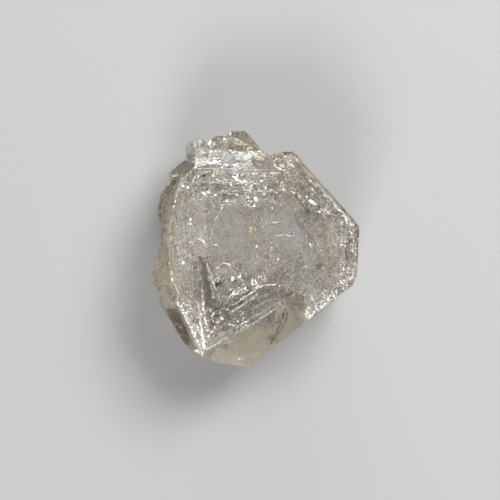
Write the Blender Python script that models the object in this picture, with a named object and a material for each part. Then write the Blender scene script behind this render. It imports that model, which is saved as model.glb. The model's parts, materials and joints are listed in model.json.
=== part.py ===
"""Skeletal quartz crystal, a loose hand specimen: several crystals grown together into one solid.

Metres, +Z up. The origin is under the middle of the outline, on the plane that the crystal rests on.
+Z is out of the broad stepped face, and +Y is along the crystals' long axis, towards the small point.
"""

from collections import namedtuple
from math import cos, radians, sin

import bmesh
import bpy
from mathutils import Matrix, Vector, noise

MM = 0.001

# Driving dimensions: the height of the broad face over the resting one, and the depth of one growth step
# in it.
THICKNESS = 26 * MM
STEP_DEPTH = 0.8 * MM

QUARTZ_COLOUR = (0.62, 0.6, 0.55, 1.0)
QUARTZ_INDEX = 1.544
QUARTZ_ROUGHNESS = 0.08

# The angle between the faces of a quartz prism and those that close its point, in degrees.
POINT_ANGLE = 38.2

# A natural face is one flat cut. azimuth is where it looks in plan, in degrees from +X towards +Y. tilt is
# how far its normal rises above the horizontal. reach is its distance from the middle of the outline, at
# height.
Face = namedtuple("Face", "azimuth tilt reach height")

# The broad face. It looks up and leans a little to one side, as nothing keeps it level with the resting one.
TABLE = Face(azimuth=205, tilt=88, reach=0, height=THICKNESS)

# The main crystal's crown: the faces that come down from the broad face to the outline.
CROWN = [
    Face(azimuth=90, tilt=55, reach=17.4 * MM, height=THICKNESS),
    Face(azimuth=41.5, tilt=35, reach=20.1 * MM, height=THICKNESS),
    Face(azimuth=-3, tilt=45, reach=21.8 * MM, height=THICKNESS),
    Face(azimuth=-60, tilt=35, reach=13.3 * MM, height=THICKNESS),
    Face(azimuth=-154, tilt=32, reach=19.6 * MM, height=THICKNESS),
    Face(azimuth=181, tilt=27, reach=18.2 * MM, height=THICKNESS),
    Face(azimuth=161, tilt=30, reach=19.5 * MM, height=THICKNESS),
    Face(azimuth=142, tilt=35, reach=21.2 * MM, height=THICKNESS),
]

# Its girdle: the upright faces that bound the outline.
GIRDLE = [
    Face(azimuth=90, tilt=-6, reach=21.8 * MM, height=23 * MM),
    Face(azimuth=62, tilt=4, reach=19.1 * MM, height=23 * MM),
    Face(azimuth=41.5, tilt=-9, reach=20.5 * MM, height=25 * MM),
    Face(azimuth=-3, tilt=-7, reach=22.7 * MM, height=25 * MM),
    Face(azimuth=-26, tilt=-3, reach=22.7 * MM, height=25 * MM),
    Face(azimuth=-51.4, tilt=0, reach=19.5 * MM, height=15 * MM),
    Face(azimuth=-98, tilt=2, reach=26 * MM, height=13 * MM),
    Face(azimuth=-117, tilt=-2, reach=25.7 * MM, height=15 * MM),
    Face(azimuth=-136, tilt=0, reach=25.2 * MM, height=15 * MM),
    Face(azimuth=-151, tilt=3, reach=23.7 * MM, height=15 * MM),
    Face(azimuth=178, tilt=-4, reach=20.4 * MM, height=20 * MM),
    Face(azimuth=146, tilt=-3, reach=22 * MM, height=20 * MM),
]

# Its underside: the faces that run in from the outline to the flat one that the crystal rests on.
UNDERSIDE = [
    Face(azimuth=74, tilt=-42, reach=14.5 * MM, height=0),
    Face(azimuth=22, tilt=-38, reach=13.5 * MM, height=0),
    Face(azimuth=-38, tilt=-44, reach=14.0 * MM, height=0),
    Face(azimuth=-88, tilt=-36, reach=17.5 * MM, height=0),
    Face(azimuth=-141, tilt=-43, reach=16.5 * MM, height=0),
    Face(azimuth=170, tilt=-38, reach=13.0 * MM, height=0),
    Face(azimuth=126, tilt=-45, reach=15.5 * MM, height=0),
]

# The second crystal, grown parallel to the main one. It fills the +X side at nearly the same level, and
# stands out past the main crystal's big sloping face.
PARALLEL = [
    Face(azimuth=205, tilt=88, reach=0, height=THICKNESS - 0.35 * MM),
    Face(azimuth=95, tilt=50, reach=19.2 * MM, height=THICKNESS),
    Face(azimuth=62, tilt=25, reach=22.4 * MM, height=THICKNESS),
    Face(azimuth=41.5, tilt=35, reach=20.2 * MM, height=THICKNESS),
    Face(azimuth=-3, tilt=45, reach=21.9 * MM, height=THICKNESS),
    Face(azimuth=-51.4, tilt=45, reach=19 * MM, height=THICKNESS),
    Face(azimuth=-135.5, tilt=18, reach=2.4 * MM, height=25.6 * MM),
    Face(azimuth=165, tilt=12, reach=2.4 * MM, height=THICKNESS),
    Face(azimuth=95, tilt=-7, reach=20.7 * MM, height=24.7 * MM),
    Face(azimuth=41.5, tilt=-9, reach=20.6 * MM, height=25 * MM),
    Face(azimuth=-3, tilt=-7, reach=22.8 * MM, height=25 * MM),
    Face(azimuth=-26, tilt=-3, reach=22.8 * MM, height=25 * MM),
    Face(azimuth=-51.4, tilt=0, reach=19.6 * MM, height=15 * MM),
    Face(azimuth=48, tilt=-33, reach=12.5 * MM, height=0),
    Face(azimuth=-14, tilt=-40, reach=13.8 * MM, height=0),
    Face(azimuth=-60, tilt=-38, reach=13.0 * MM, height=0),
    Face(azimuth=10, tilt=-85, reach=0, height=4 * MM),
]

# Small crystals along the -X side, each lower than the broad face.
SIDE_CRYSTALS = [
    [
        Face(azimuth=188, tilt=58, reach=18.4 * MM, height=25.5 * MM),
        Face(azimuth=155.7, tilt=3, reach=18.9 * MM, height=14 * MM),
        Face(azimuth=-156.7, tilt=-2, reach=22.6 * MM, height=12 * MM),
        Face(azimuth=-84, tilt=-8, reach=10.4 * MM, height=15 * MM),
        Face(azimuth=74, tilt=25, reach=-4.2 * MM, height=20 * MM),
        Face(azimuth=-20, tilt=0, reach=-12 * MM, height=15 * MM),
        Face(azimuth=178, tilt=-42, reach=18 * MM, height=7 * MM),
    ],
    [
        Face(azimuth=160, tilt=50, reach=20.2 * MM, height=19 * MM),
        Face(azimuth=137.5, tilt=4, reach=23.6 * MM, height=14 * MM),
        Face(azimuth=166.3, tilt=0, reach=22.8 * MM, height=13 * MM),
        Face(azimuth=-168.5, tilt=2, reach=19.2 * MM, height=13 * MM),
        Face(azimuth=-95, tilt=20, reach=-5.4 * MM, height=14 * MM),
        Face(azimuth=-10, tilt=0, reach=-14 * MM, height=15 * MM),
        Face(azimuth=62, tilt=10, reach=6 * MM, height=15 * MM),
        Face(azimuth=165, tilt=-45, reach=20.5 * MM, height=9 * MM),
    ],
    [
        Face(azimuth=132, tilt=58, reach=22.8 * MM, height=21 * MM),
        Face(azimuth=130.5, tilt=2, reach=24.9 * MM, height=16 * MM),
        Face(azimuth=-173, tilt=4, reach=16.6 * MM, height=16 * MM),
        Face(azimuth=171, tilt=-2, reach=21.6 * MM, height=16 * MM),
        Face(azimuth=-110, tilt=20, reach=-8 * MM, height=16 * MM),
        Face(azimuth=40, tilt=8, reach=2.2 * MM, height=16 * MM),
        Face(azimuth=-40, tilt=0, reach=-18 * MM, height=16 * MM),
        Face(azimuth=136, tilt=-40, reach=22 * MM, height=10 * MM),
    ],
]

# The small points on the +Y side: where the whole tip would be, the half width, the direction of the long
# axis in plan and how far it rises, in degrees, the turn about it, the length, and how much of the tip is
# missing.
Point = namedtuple("Point", "tip half_width azimuth rise turn length missing")
POINTS = [
    Point((-4.1 * MM, 27.4 * MM, 17.0 * MM), 5.1 * MM, 91, 2, 24, 17 * MM, 1.4 * MM),
    Point((-7.9 * MM, 25.9 * MM, 15.6 * MM), 3.6 * MM, 93, 4, 14, 13 * MM, 0.9 * MM),
    Point((1.4 * MM, 22.3 * MM, 19.2 * MM), 2.0 * MM, 84, 8, 5, 8 * MM, 0.5 * MM),
]
SMALLER_FACE_SETBACK = 0.09

# A broken stub beside them: a rounded lump with no faces of its own.
STUB_CENTRE = Vector((-12.4 * MM, 21.7 * MM, 17 * MM))
STUB_RADII = Vector((2.8 * MM, 2.6 * MM, 3.6 * MM))
STUB_ROUGHNESS = 0.3

# The growth steps sunk in the broad face, each deeper than the last: where each of its walls looks in plan,
# and how far that wall is from the middle of the outline, in millimetres.
HOPPER_STEPS = [
    [(90, 16.6), (41.5, 18.3), (-3, 19.9), (-47, 17.0), (-60, 12.6), (-154, 18.5), (181, 17.4), (161, 18.6),
     (142, 20.2)],
    [(90, 14.6), (41.5, 16.6), (0, 18.2), (-45, 14.6), (-61, 11.2), (-171, 13.9), (170, 16.2), (148, 18.0)],
    [(91, 12.4), (45, 14.2), (8, 15.6), (-38, 14.0), (-63, 9.8), (-171, 12.6), (166, 13.4), (140, 15.0)],
    [(93, 10.2), (66, 10.6), (44, 11.7), (20, 12.6), (-30, 12.9), (-71, 8.0), (-163, 10.5), (180, 10.1)],
]
WALL_TILT = -24


def normal_of(face):
    """The face's outward unit normal."""
    azimuth, tilt = radians(face.azimuth), radians(face.tilt)
    return Vector((cos(azimuth) * cos(tilt), sin(azimuth) * cos(tilt), sin(tilt)))


def point_on(face):
    """A point that the face passes through."""
    azimuth = radians(face.azimuth)
    return Vector((cos(azimuth) * face.reach, sin(azimuth) * face.reach, face.height))


def cut_flat(block, point, normal):
    """Cuts away what lies in front of a plane, and closes the cut with one flat face."""
    whole = block.verts[:] + block.edges[:] + block.faces[:]
    cut = bmesh.ops.bisect_plane(
        block, geom=whole, plane_co=point, plane_no=normal, clear_outer=True, dist=1e-7
    )
    rim = [item for item in cut["geom_cut"] if isinstance(item, bmesh.types.BMEdge)]
    bmesh.ops.holes_fill(block, edges=rim)


def crystal_of(faces, top=THICKNESS + 2 * MM, size=80 * MM):
    """A convex block bounded by those faces, by the resting plane and by a plane above everything."""
    block = bmesh.new()
    bmesh.ops.create_cube(block, size=size, matrix=Matrix.Translation((0, 0, size / 2)))
    cut_flat(block, Vector((0, 0, top)), Vector((0, 0, 1)))
    for face in faces:
        cut_flat(block, point_on(face), normal_of(face))
    return block


def quartz_point(point):
    """A six-sided prism closed by the three larger and the three smaller faces of a quartz tip."""
    block = bmesh.new()
    radius = point.half_width / cos(radians(30))
    bmesh.ops.create_cone(
        block, segments=6, cap_ends=True, radius1=radius, radius2=radius, depth=2 * point.length
    )
    for side in range(6):
        azimuth = radians(60 * side + 30)
        lean = radians(POINT_ANGLE)
        outward = Vector((cos(azimuth) * cos(lean), sin(azimuth) * cos(lean), sin(lean)))
        setback = SMALLER_FACE_SETBACK * point.length if side % 2 else 0
        cut_flat(block, Vector((0, 0, point.length + setback)), outward)
    cut_flat(block, Vector((0, 0, point.length - point.missing)), Vector((0, 0, 1)))
    onto_axis = Vector((0, 0, 1)).rotation_difference(
        normal_of(Face(point.azimuth, point.rise, 0, 0))
    )
    placing = (
        Matrix.Translation(point.tip)
        @ onto_axis.to_matrix().to_4x4()
        @ Matrix.Rotation(radians(point.turn), 4, "Z")
        @ Matrix.Translation((0, 0, -point.length))
    )
    bmesh.ops.transform(block, matrix=placing, verts=block.verts[:])
    return block


def broken_stub():
    """A rounded, uneven lump where a small crystal has broken off."""
    block = bmesh.new()
    bmesh.ops.create_icosphere(block, subdivisions=2, radius=1)
    for vertex in block.verts:
        uneven = 1 + STUB_ROUGHNESS * noise.noise(vertex.co * 1.4)
        vertex.co = STUB_CENTRE + vertex.co * uneven * STUB_RADII
    return block


def hopper_step(walls, depth):
    """The block that one growth step takes out of the broad face."""
    floor = Face(TABLE.azimuth - 180, -TABLE.tilt, 0, THICKNESS - depth)
    sides = [Face(azimuth, WALL_TILT, reach * MM, THICKNESS - depth) for azimuth, reach in walls]
    return crystal_of([floor] + sides)


def quartz_material():
    """Clear quartz, faintly warm."""
    material = bpy.data.materials.new("quartz")
    material.use_nodes = True
    shader = material.node_tree.nodes["Principled BSDF"]
    shader.inputs["Base Color"].default_value = QUARTZ_COLOUR
    shader.inputs["Roughness"].default_value = QUARTZ_ROUGHNESS
    shader.inputs["Metallic"].default_value = 0
    shader.inputs["IOR"].default_value = QUARTZ_INDEX
    shader.inputs["Transmission Weight"].default_value = 1
    return material


def object_of(name, block, collection):
    """A mesh object made from the block, which it uses up."""
    bmesh.ops.recalc_face_normals(block, faces=block.faces[:])
    mesh = bpy.data.meshes.new(name)
    block.to_mesh(mesh)
    block.free()
    made = bpy.data.objects.new(name, mesh)
    collection.objects.link(made)
    return made


def apply_to(whole, operation, name, block, tools):
    """Joins the block to the whole, or takes it out of it, with a Boolean modifier."""
    tool = object_of(name, block, tools)
    tool.hide_render = True
    tool.display_type = "WIRE"
    modifier = whole.modifiers.new(name, "BOOLEAN")
    modifier.operation = operation
    modifier.object = tool


def main():
    for old in list(bpy.data.objects):
        bpy.data.objects.remove(old)
    parts = bpy.data.collections.new("skeletal_quartz_crystal")
    tools = bpy.data.collections.new("grown_on_and_sunk_in")
    for collection in (parts, tools):
        bpy.context.scene.collection.children.link(collection)

    crystal = object_of("quartz_crystal", crystal_of([TABLE] + CROWN + GIRDLE + UNDERSIDE), parts)
    crystal.data.materials.append(quartz_material())
    apply_to(crystal, "UNION", "parallel_crystal", crystal_of(PARALLEL), tools)
    for number, faces in enumerate(SIDE_CRYSTALS, start=1):
        apply_to(crystal, "UNION", f"side_crystal_{number}", crystal_of(faces), tools)
    for number, point in enumerate(POINTS, start=1):
        apply_to(crystal, "UNION", f"point_{number}", quartz_point(point), tools)
    apply_to(crystal, "UNION", "stub", broken_stub(), tools)
    for number, walls in enumerate(HOPPER_STEPS, start=1):
        step = hopper_step(walls, number * STEP_DEPTH)
        apply_to(crystal, "DIFFERENCE", f"hopper_step_{number}", step, tools)


main()
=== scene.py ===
"""Looks of a skeletal quartz crystal: its skin, what is sealed in it, and the light it is seen in.

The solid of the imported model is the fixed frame. The skin is made from that solid, with its faces' own relief,
and what is sealed in the crystal is placed by where it lies under the broad face. Lengths are in metres, +Z is
up and out of the broad face, and +Y is along the crystals' long axis.
"""

import json
import logging
import math
from collections.abc import Callable
from dataclasses import dataclass, field
from enum import Enum

import bmesh
import bpy
import numpy as np
from mathutils import Matrix, Vector, noise
from mathutils.bvhtree import BVHTree

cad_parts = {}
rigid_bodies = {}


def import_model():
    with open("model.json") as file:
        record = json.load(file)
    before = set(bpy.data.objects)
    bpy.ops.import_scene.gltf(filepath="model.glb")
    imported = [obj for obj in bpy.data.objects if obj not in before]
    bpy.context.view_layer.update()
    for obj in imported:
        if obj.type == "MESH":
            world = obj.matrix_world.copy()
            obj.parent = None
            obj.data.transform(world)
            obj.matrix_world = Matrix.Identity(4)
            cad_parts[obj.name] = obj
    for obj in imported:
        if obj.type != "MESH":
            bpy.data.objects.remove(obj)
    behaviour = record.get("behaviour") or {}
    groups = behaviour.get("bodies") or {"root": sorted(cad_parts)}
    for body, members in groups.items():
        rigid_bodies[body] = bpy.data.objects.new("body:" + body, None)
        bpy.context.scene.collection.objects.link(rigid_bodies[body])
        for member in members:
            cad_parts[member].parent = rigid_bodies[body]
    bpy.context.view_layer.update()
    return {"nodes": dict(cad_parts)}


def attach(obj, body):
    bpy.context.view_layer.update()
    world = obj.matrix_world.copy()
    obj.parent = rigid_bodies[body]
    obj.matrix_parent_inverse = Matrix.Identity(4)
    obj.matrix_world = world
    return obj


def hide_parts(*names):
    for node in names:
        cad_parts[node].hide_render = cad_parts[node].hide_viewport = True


LOG = logging.getLogger("quartz")
MM = 0.001
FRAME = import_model()
NODE = "quartz_crystal"
BODY = "root"

Point3 = tuple[float, float, float]
Colour = tuple[float, float, float, float]
Outline = tuple[tuple[float, float], ...]


def unit_towards(azimuth: float, tilt: float) -> Vector:
    """The unit vector that looks along azimuth in plan and rises by tilt.

    Args:
        azimuth: degrees from +X towards +Y.
        tilt: degrees above the horizontal.

    Returns:
        The vector.
    """
    turn, rise = math.radians(azimuth), math.radians(tilt)
    return Vector((math.cos(turn) * math.cos(rise), math.sin(turn) * math.cos(rise), math.sin(rise)))


INDEX = 1.544
UP = Vector((0, 0, 1))
KEY_AZIMUTH = 52
KEY_ELEVATION = 52
KEY_LIGHT = unit_towards(KEY_AZIMUTH, KEY_ELEVATION)


def inside_way(outside: Vector, normal: Vector) -> Vector:
    """The direction inside the crystal that leads out through a face towards a given direction.

    Args:
        outside: the direction outside, a unit vector.
        normal: the face's unit normal.

    Returns:
        The unit direction inside.
    """
    across = (outside - normal * outside.dot(normal)) / INDEX
    return across + normal * math.sqrt(max(0.0, 1 - across.length_squared))


def flashing(normal: Vector) -> Vector:
    """The way a mirror must face under a face of that normal to throw the main light straight up."""
    return (inside_way(UP, normal) + inside_way(KEY_LIGHT, normal)).normalized()


class Mask(Enum):
    """What the skin's vertices say about its surface, each from 0 to 1."""

    FROST = "frost"
    GRAIN = "grain"
    STRIA = "stria"
    STAIN = "stain"
    OLIVE = "olive"


class Sheet:
    """A material's node tree, with short ways to add to it."""

    def __init__(self, name: str) -> None:
        """Starts a material.

        Args:
            name: its name.
        """
        self.material = bpy.data.materials.new(name)
        self.material.use_nodes = True
        self.tree = self.material.node_tree
        self.shader = self.tree.nodes["Principled BSDF"]
        self.output = self.tree.nodes["Material Output"]

    def set(self, **values: object) -> None:
        """Sets the shader's own sockets, named with _ for a space."""
        for name, value in values.items():
            self.shader.inputs[name.replace("_", " ")].default_value = value

    def add(self, kind: str, inputs: dict | None = None, **properties: object) -> bpy.types.Node:
        """Adds a node.

        Args:
            kind: the node's type, without its ShaderNode prefix.
            inputs: socket name or number to its value, or to the socket that feeds it.
            properties: the node's own settings.

        Returns:
            The node.
        """
        node = self.tree.nodes.new("ShaderNode" + kind)
        for name, value in properties.items():
            setattr(node, name, value)
        for socket, value in (inputs or {}).items():
            if isinstance(value, bpy.types.NodeSocket):
                self.tree.links.new(value, node.inputs[socket])
            else:
                node.inputs[socket].default_value = value
        return node

    def feed(self, socket: str, source: bpy.types.NodeSocket) -> None:
        """Links a socket to the shader's socket of that name."""
        self.tree.links.new(source, self.shader.inputs[socket])

    def place(self, stretch: Point3 = (1, 1, 1)) -> bpy.types.NodeSocket:
        """The object's own coordinates, stretched."""
        where = self.add("TexCoord").outputs["Object"]
        return self.add("Mapping", {"Vector": where, "Scale": stretch}).outputs["Vector"]

    def mask(self, mask: Mask) -> bpy.types.NodeSocket:
        """One of the skin's masks."""
        return self.add("Attribute", attribute_name=mask.value).outputs["Fac"]

    def grain(self, per_metre: float, detail: float = 3, stretch: Point3 = (1, 1, 1)) -> bpy.types.NodeSocket:
        """Noise at a scale.

        Args:
            per_metre: how many grains a metre holds.
            detail: how many finer layers it has.
            stretch: how much finer it is along X, Y and Z.

        Returns:
            The noise's factor.
        """
        made = self.add("TexNoise", {"Vector": self.place(stretch), "Scale": per_metre, "Detail": detail})
        return made.outputs["Fac"]

    def spread(self, value: bpy.types.NodeSocket, low: float, high: float, to: tuple[float, float] = (0, 1)
               ) -> bpy.types.NodeSocket:
        """Maps low and high to the two values in to, and holds what lies outside.

        Args:
            value: the socket to map.
            low: what becomes the first value in to.
            high: what becomes the second.
            to: the two values.

        Returns:
            The mapped socket.
        """
        inputs = {"Value": value, "From Min": low, "From Max": high, "To Min": to[0], "To Max": to[1]}
        return self.add("MapRange", inputs).outputs["Result"]

    def maths(self, operation: str, first: object, second: object) -> bpy.types.NodeSocket:
        """The result of one Math node."""
        return self.add("Math", {0: first, 1: second}, operation=operation).outputs["Value"]

    def blend(self, share: object, first: object, second: object) -> bpy.types.NodeSocket:
        """Mixes two colours.

        Args:
            share: how much of the second there is.
            first: a colour or its socket.
            second: a colour or its socket.

        Returns:
            The mixed colour.
        """
        return self.add("Mix", {0: share, 6: first, 7: second}, data_type="RGBA").outputs[2]

    def bump(self, height: bpy.types.NodeSocket, depth: float, strength: object = 1.0) -> None:
        """Gives the shader a bump, on top of any that it has.

        Args:
            height: the socket that says how high the surface stands, from 0 to 1.
            depth: what 1 stands for, in metres.
            strength: how much of it shows, or the socket that says so.
        """
        inputs = {"Height": height, "Distance": depth, "Strength": strength}
        before = self.shader.inputs["Normal"]
        if before.is_linked:
            inputs["Normal"] = before.links[0].from_socket
        self.feed("Normal", self.add("Bump", inputs).outputs["Normal"])


@dataclass(frozen=True)
class QuartzFinish:
    """Clear quartz with frosted, striated and stained places, which the skin's masks give.

    How fine a pattern is, is given by how many of its grains, patches or lines a metre holds.
    """

    clear: Colour = (0.985, 0.975, 0.96, 1)
    ochre: Colour = (0.5, 0.38, 0.19, 1)
    olive: Colour = (0.82, 0.775, 0.65, 1)
    smooth: float = 0.06
    frosted: float = 0.4
    stain_patches: float = 420
    frost_patches: float = 900
    grains: float = 1500
    grain_height: float = 0.06 * MM
    least_grain: float = 0.12
    lines: float = 160
    line_stretch: Point3 = (0.6, 9, 0.6)
    line_height: float = 0.12 * MM
    taken: Colour = (0.85, 0.8, 0.73, 1)
    taken_per_metre: float = 28

    def material(self) -> bpy.types.Material:
        """Makes the material.

        Returns:
            The material.
        """
        sheet = Sheet("quartz_skin")
        sheet.set(IOR=INDEX, Transmission_Weight=1.0, Metallic=0.0)
        patchy = sheet.spread(sheet.grain(self.stain_patches), 0.3, 0.55, (0.35, 1))
        stain = sheet.maths("MULTIPLY", sheet.mask(Mask.STAIN), patchy)
        tinted = sheet.blend(sheet.mask(Mask.OLIVE), self.clear, self.olive)
        sheet.feed("Base Color", sheet.blend(stain, tinted, self.ochre))
        haze = sheet.maths("MULTIPLY", sheet.mask(Mask.FROST),
                           sheet.spread(sheet.grain(self.frost_patches), 0.3, 0.6, (0.7, 1)))
        sheet.feed("Roughness", sheet.spread(haze, 0, 1, (self.smooth, self.frosted)))
        sheet.bump(sheet.grain(self.grains, 4), self.grain_height,
                   sheet.spread(sheet.mask(Mask.GRAIN), 0, 1, (self.least_grain, 1)))
        sheet.bump(sheet.grain(self.lines, 4, self.line_stretch), self.line_height, sheet.mask(Mask.STRIA))
        taken = sheet.add("VolumeAbsorption", {"Color": self.taken, "Density": self.taken_per_metre})
        sheet.tree.links.new(taken.outputs[0], sheet.output.inputs["Volume"])
        return sheet.material


@dataclass(frozen=True)
class FlakeFinish:
    """The wall of a thin gas-filled cavity, or of a grain, sealed in the crystal; some finishes instead paint shade
    or dark reflections.

    Its colour changes from grain to grain between two, and drifts towards a tinge in larger patches.
    """

    name: str
    colour: Colour
    other: Colour
    roughness: float
    metallic: float
    grains: float = 900
    patches: float = 150
    tinge: Colour = (0.82, 0.71, 0.62, 1)
    tinged: float = 0.0
    roughening: float = 1.6

    def material(self) -> bpy.types.Material:
        """Makes the material.

        Returns:
            The material.
        """
        sheet = Sheet(self.name)
        sheet.set(Metallic=self.metallic)
        mottle = sheet.spread(sheet.grain(self.grains), 0.35, 0.65)
        drift = sheet.spread(sheet.grain(self.patches, 2), 0.44, 0.6, (0, self.tinged))
        sheet.feed("Base Color", sheet.blend(drift, sheet.blend(mottle, self.colour, self.other), self.tinge))
        sheet.feed("Roughness", sheet.spread(mottle, 0, 1, (self.roughness, self.roughness * self.roughening)))
        return sheet.material


MIRROR = FlakeFinish("cavity_wall", (0.96, 0.955, 0.94, 1), (0.82, 0.8, 0.77, 1), 0.14, 1.0)
# Painted dark reflection: mirror flakes coloured mid to dark grey so that they reflect dimly, as mirrors facing dark
# surroundings would; the cavities themselves reflect brightly.
PAINTED_DARK_REFLECTION_FINISH = FlakeFinish("cavity_wall_painted_dark_reflection", (0.5, 0.48, 0.44, 1), (0.2, 0.19, 0.165, 1), 0.3, 1.0)
MILK = FlakeFinish("milky_flake", (0.92, 0.905, 0.875, 1), (0.78, 0.765, 0.74, 1), 0.6, 0.0, tinged=0.55)
BLUISH = FlakeFinish("bluish_haze", (0.75, 0.757, 0.73, 1), (0.63, 0.63, 0.6, 1), 0.6, 0.0)
BEIGE = FlakeFinish("beige_haze", (0.82, 0.74, 0.65, 1), (0.6, 0.53, 0.44, 1), 0.6, 0.0)
# Painted shade: dark grey-brown flakes that darken clear places of the crystal as a dark ground seen through it
# would; the quartz has no such colour.
PAINTED_SHADE_FINISH = FlakeFinish("painted_shade_haze", (0.4, 0.36, 0.29, 1), (0.28, 0.25, 0.19, 1), 0.6, 0.0)
CREAM = FlakeFinish("creamy_grain", (0.97, 0.93, 0.79, 1), (0.9, 0.84, 0.67, 1), 0.6, 0.0)
OLIVE = FlakeFinish("olive_clay", (0.3, 0.26, 0.15, 1), (0.17, 0.145, 0.08, 1), 0.7, 0.0)
OCHRE = FlakeFinish("iron_stain", (0.5, 0.37, 0.15, 1), (0.32, 0.21, 0.09, 1), 0.8, 0.0)
DARK = FlakeFinish("dark_mineral", (0.03, 0.028, 0.022, 1), (0.12, 0.1, 0.07, 1), 0.45, 0.0)


@dataclass(frozen=True)
class FloorFinish:
    """A plain pale matt surface."""

    shade: float = 0.385
    blue_share: float = 0.99
    roughness: float = 0.85

    def material(self) -> bpy.types.Material:
        """Makes the material.

        Returns:
            The material.
        """
        sheet = Sheet("pale_floor")
        colour = (self.shade, self.shade, self.shade * self.blue_share, 1)
        sheet.set(Roughness=self.roughness, Base_Color=colour)
        return sheet.material


def refined(points: np.ndarray, corners: np.ndarray, longest: Callable[[np.ndarray], np.ndarray]
            ) -> tuple[np.ndarray, np.ndarray]:
    """Cuts triangles at the middle of their longest sides until no side is too long.

    Args:
        points: the vertices.
        corners: three vertex numbers for each triangle.
        longest: gives the longest side to leave at each of the places that it gets.

    Returns:
        The new vertices and triangles. Neighbours still share every vertex on their common side.
    """
    while True:
        sides = np.sort(np.stack([corners, np.roll(corners, -1, axis=1)], axis=2), axis=2)
        keys, which = np.unique(sides[..., 0] * len(points) + sides[..., 1], return_inverse=True)
        ends = np.stack([keys // len(points), keys % len(points)], axis=1)
        lengths = np.linalg.norm(points[ends[:, 0]] - points[ends[:, 1]], axis=1)
        lengths /= longest(points[ends].mean(axis=1))
        which = which.reshape(-1, 3)
        tall = lengths[which]
        needs = np.flatnonzero(tall.max(axis=1) > 1)
        if not len(needs):
            return points, corners
        split = np.zeros(len(keys), bool)
        split[which[needs, tall[needs].argmax(axis=1)]] = True
        middles = np.full(len(keys), -1)
        middles[split] = len(points) + np.arange(split.sum())
        points = np.vstack([points, points[ends[split]].mean(axis=1)])
        middle = middles[which]
        while True:
            marked = np.flatnonzero((middle >= 0).any(axis=1))
            if not len(marked):
                break
            a_to_b = np.linalg.norm(points[corners[marked]] - points[np.roll(corners[marked], -1, axis=1)], axis=2)
            first = np.where(middle[marked] >= 0, a_to_b, -1).argmax(axis=1)
            turn = (first[:, None] + np.arange(3)) % 3
            a, b, c = np.take_along_axis(corners[marked], turn, 1).T
            ab, bc, ca = np.take_along_axis(middle[marked], turn, 1).T
            none = np.full(len(marked), -1)
            corners[marked] = np.stack([a, ab, c], axis=1)
            middle[marked] = np.stack([none, none, ca], axis=1)
            corners = np.vstack([corners, np.stack([ab, b, c], axis=1)])
            middle = np.vstack([middle, np.stack([none, bc, none], axis=1)])


SHORTEST = 1e-18
FULLY_BENT = 0.03


def unit(vectors: np.ndarray) -> np.ndarray:
    """The vectors at length 1, and 0 for one that has no length."""
    return vectors / np.maximum(np.linalg.norm(vectors, axis=1, keepdims=True), SHORTEST)


@dataclass
class Surface:
    """A triangle mesh as arrays, with what its relief is worked out from."""

    points: np.ndarray
    corners: np.ndarray

    def face_normals(self) -> np.ndarray:
        """The triangles' normals, as long as twice their area."""
        a, b, c = (self.points[self.corners[:, i]] for i in range(3))
        return np.cross(b - a, c - a)

    def to_vertices(self, values: np.ndarray) -> np.ndarray:
        """Takes values from the triangles to the vertices.

        Args:
            values: one for each triangle.

        Returns:
            The mean at each vertex of its triangles' values.
        """
        total, count = np.zeros(len(self.points)), np.zeros(len(self.points))
        for i in range(3):
            total += np.bincount(self.corners[:, i], values, len(self.points))
            count += np.bincount(self.corners[:, i], None, len(self.points))
        return total / np.maximum(count, 1)

    def vertex_normals(self) -> np.ndarray:
        """The vertices' unit normals."""
        across = self.face_normals()
        return unit(np.stack([self.to_vertices(across[:, i]) for i in range(3)], axis=1))

    def soften(self, share: np.ndarray, turns: int) -> None:
        """Draws the vertices on sharp edges towards their neighbours.

        Args:
            share: for each vertex, how far towards its neighbours' middle it goes each time.
            turns: how many times.
        """
        flat = unit(self.face_normals())
        mean = np.stack([self.to_vertices(flat[:, i]) for i in range(3)], axis=1)
        bent = np.clip((1 - np.linalg.norm(mean, axis=1)) / FULLY_BENT, 0, 1)[:, None]
        for _ in range(turns):
            total, count = np.zeros_like(self.points), np.zeros(len(self.points))
            for i in range(3):
                for j in (1, 2):
                    here, there = self.corners[:, i], self.corners[:, (i + j) % 3]
                    count += np.bincount(here, None, len(self.points))
                    for k in range(3):
                        total[:, k] += np.bincount(here, self.points[there, k], len(self.points))
            self.points += bent * share[:, None] * (total / count[:, None] - self.points)

    def mesh(self, name: str) -> bpy.types.Mesh:
        """Makes a Blender mesh of it.

        Args:
            name: the mesh's name.

        Returns:
            The mesh.
        """
        mesh = bpy.data.meshes.new(name)
        mesh.from_pydata(self.points.tolist(), [], self.corners.tolist())
        mesh.validate()
        return mesh


def noise_at(points: np.ndarray, per_metre: float | Point3, seed: float = 0.0) -> np.ndarray:
    """Smooth noise from -1 to 1 at each point.

    Args:
        points: where to read it.
        per_metre: how many waves a metre holds, the same each way or along X, Y and Z.
        seed: picks another pattern.

    Returns:
        The values.
    """
    scaled = points * np.asarray(per_metre) + seed * 17.3
    return np.array([noise.noise(Vector(p)) for p in scaled])


def cells_at(points: np.ndarray, per_metre: float) -> np.ndarray:
    """How far each point is from the middle of its own crumb, as a share of the crumbs' size.

    Args:
        points: where to read it.
        per_metre: how many crumbs a metre holds.

    Returns:
        The values, from 0 to about 1.
    """
    return np.array([noise.voronoi(Vector(p))[0][0] for p in points * per_metre])


def reach(points: np.ndarray, middle: tuple[float, float], radii: tuple[float, float], turn: float) -> np.ndarray:
    """How far each point is from an ellipse's middle in plan.

    Args:
        points: where to read it.
        middle: the ellipse's middle, in millimetres.
        radii: its half lengths, in millimetres.
        turn: the first one's direction, in degrees from +X towards +Y.

    Returns:
        The distances, as shares of the way to the rim.
    """
    along = np.array([math.cos(math.radians(turn)), math.sin(math.radians(turn))])
    across = np.array([-along[1], along[0]])
    place = points[:, :2] / MM - np.array(middle)
    return np.hypot(place @ along / radii[0], place @ across / radii[1])


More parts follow.
